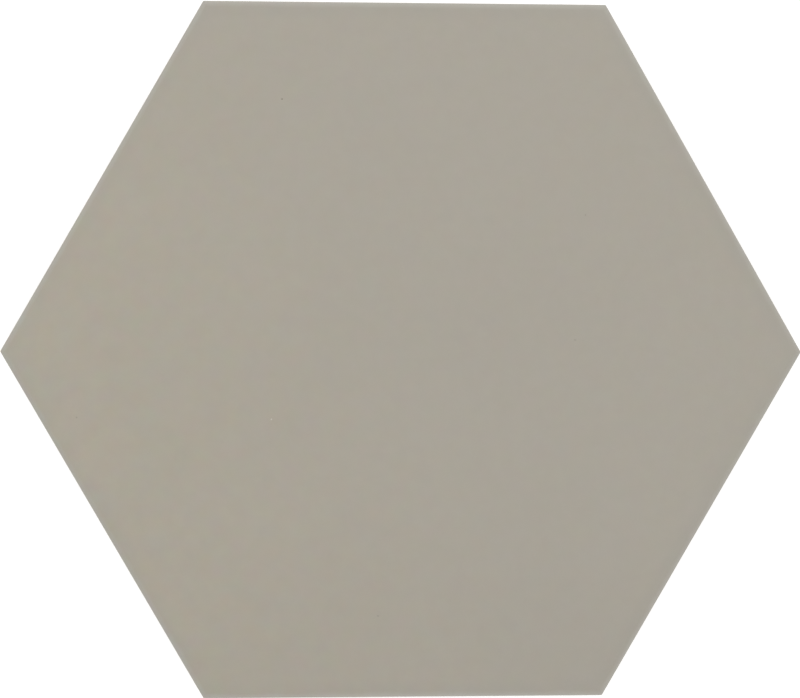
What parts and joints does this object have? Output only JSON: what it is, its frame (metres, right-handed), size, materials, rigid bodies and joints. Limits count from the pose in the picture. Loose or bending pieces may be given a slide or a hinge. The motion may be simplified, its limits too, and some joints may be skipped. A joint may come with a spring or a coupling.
{
  "type": "hexagon floor tile",
  "caption": "Flat regular-hexagon floor tile in beige-grey matt glazed stoneware, with rolled face edges, tapered sides and a ribbed honeycomb back for adhesive.",
  "frame": {"origin": "centre of the tile, on the plane of the rib tops on its back, which is the plane that it lies on", "axes": "+Z out of the glazed face, +X from the centre to a corner, +Y to the middle of a side"},
  "size_m": [0.2498, 0.2164, 0.009],
  "materials": {
    "glazed_stoneware": "plain beige-grey matt glaze on the face and upper sides, bare fired stoneware below and on the back"
  },
  "bodies": {
    "root": {"hexagon_tile": "glazed_stoneware"}
  },
  "joints": []
}
